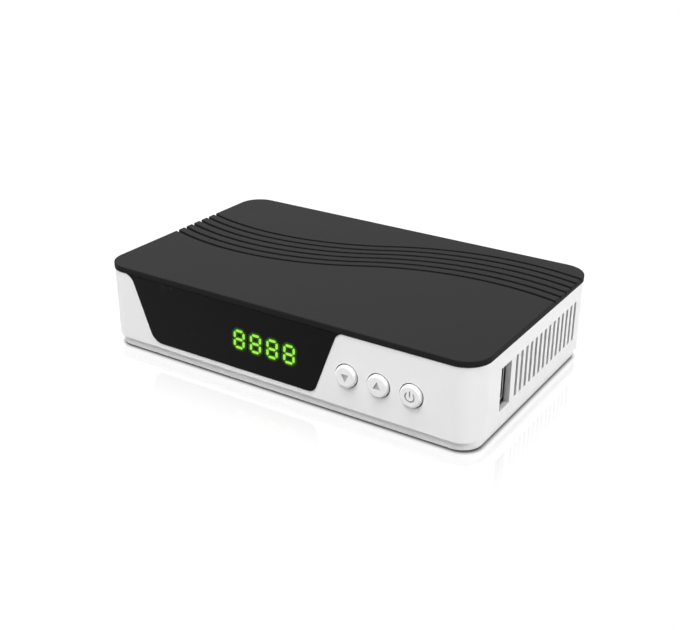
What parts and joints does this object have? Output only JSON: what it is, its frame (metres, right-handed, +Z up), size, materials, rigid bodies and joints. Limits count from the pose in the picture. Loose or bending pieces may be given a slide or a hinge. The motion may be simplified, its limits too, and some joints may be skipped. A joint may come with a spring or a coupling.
{
  "type": "digital tv receiver",
  "caption": "Free-standing digital TV receiver: black wave-grooved cover on a white case, smoked window over a lit display, round push buttons, side data socket and rear sockets.",
  "frame": {"origin": "under the middle of the whole part's box, on the surface that the feet stand on", "axes": "+Z up, the front with window and buttons faces -Y, the side with the data socket faces +X"},
  "size_m": [0.166, 0.1092, 0.0357],
  "materials": {
    "cover_black": "fine matt texture",
    "case_white": "smooth satin gloss",
    "plinth_white": "smooth matt",
    "window_smoke": "polished, dark smoke",
    "panel_black": "fine matt texture",
    "rubber_black": "matt",
    "screw_steel": "zinc plated",
    "key_white": "smooth satin gloss",
    "switch_black": "moulded",
    "switch_grey": "moulded",
    "board_green": "solder resist",
    "display_black": "printed face",
    "segment_green": "lit from behind",
    "contact_gold": "gold flash",
    "shield_tin": "tin plated",
    "insulator_cream": "moulded",
    "audio_orange": "moulded",
    "socket_black": "moulded",
    "chip_black": "moulded",
    "sink_black": "black anodised",
    "can_blue": "shrink sleeve",
    "coil_grey": "ferrite"
  },
  "bodies": {
    "housing": {"top_cover": "cover_black", "case_shell": "case_white", "base_tray": "plinth_white", "rear_panel": "panel_black", "front_window": "window_smoke", "rubber_feet": "rubber_black", "case_screws": "screw_steel", "board_screws": "screw_steel", "switch_bodies": "switch_grey", "front_board": "board_green", "display_housing": "display_black", "display_segments": "segment_green", "infrared_receiver": "chip_black", "board_header": "socket_black", "header_pins": "contact_gold", "main_board": "board_green", "main_chip": "chip_black", "heat_sink": "sink_black", "memory_chip": "chip_black", "flash_chip": "chip_black", "crystal": "shield_tin", "capacitors": "can_blue", "inductors": "coil_grey", "tuner_can": "shield_tin", "antenna_in_socket": "shield_tin", "antenna_in_insulator": "insulator_cream", "antenna_in_contact": "contact_gold", "antenna_out_plug": "shield_tin", "antenna_out_insulator": "insulator_cream", "antenna_out_pin": "contact_gold", "audio_socket_sleeve": "shield_tin", "audio_socket_body": "audio_orange", "video_socket_shell": "shield_tin", "video_socket_tongue": "socket_black", "av_socket": "socket_black", "dc_jack": "socket_black", "dc_jack_pin": "shield_tin", "data_socket_shell": "shield_tin", "data_socket_tongue": "socket_black", "data_socket_contacts": "contact_gold"},
    "down_key": {"down_button": "key_white", "down_plunger": "switch_black"},
    "up_key": {"up_button": "key_white", "up_plunger": "switch_black"},
    "power_key": {"power_button": "key_white", "power_plunger": "switch_black"}
  },
  "joints": [
    {"name": "down_press", "type": "slide", "parent": "housing", "child": "down_key", "axis": [0, 1, 0], "range_m": [0, 0.0003], "stiffness_N_per_m": 5000},
    {"name": "up_press", "type": "slide", "parent": "housing", "child": "up_key", "axis": [0, 1, 0], "range_m": [0, 0.0003], "stiffness_N_per_m": 5000},
    {"name": "power_press", "type": "slide", "parent": "housing", "child": "power_key", "axis": [0, 1, 0], "range_m": [0, 0.0003], "stiffness_N_per_m": 5000}
  ]
}
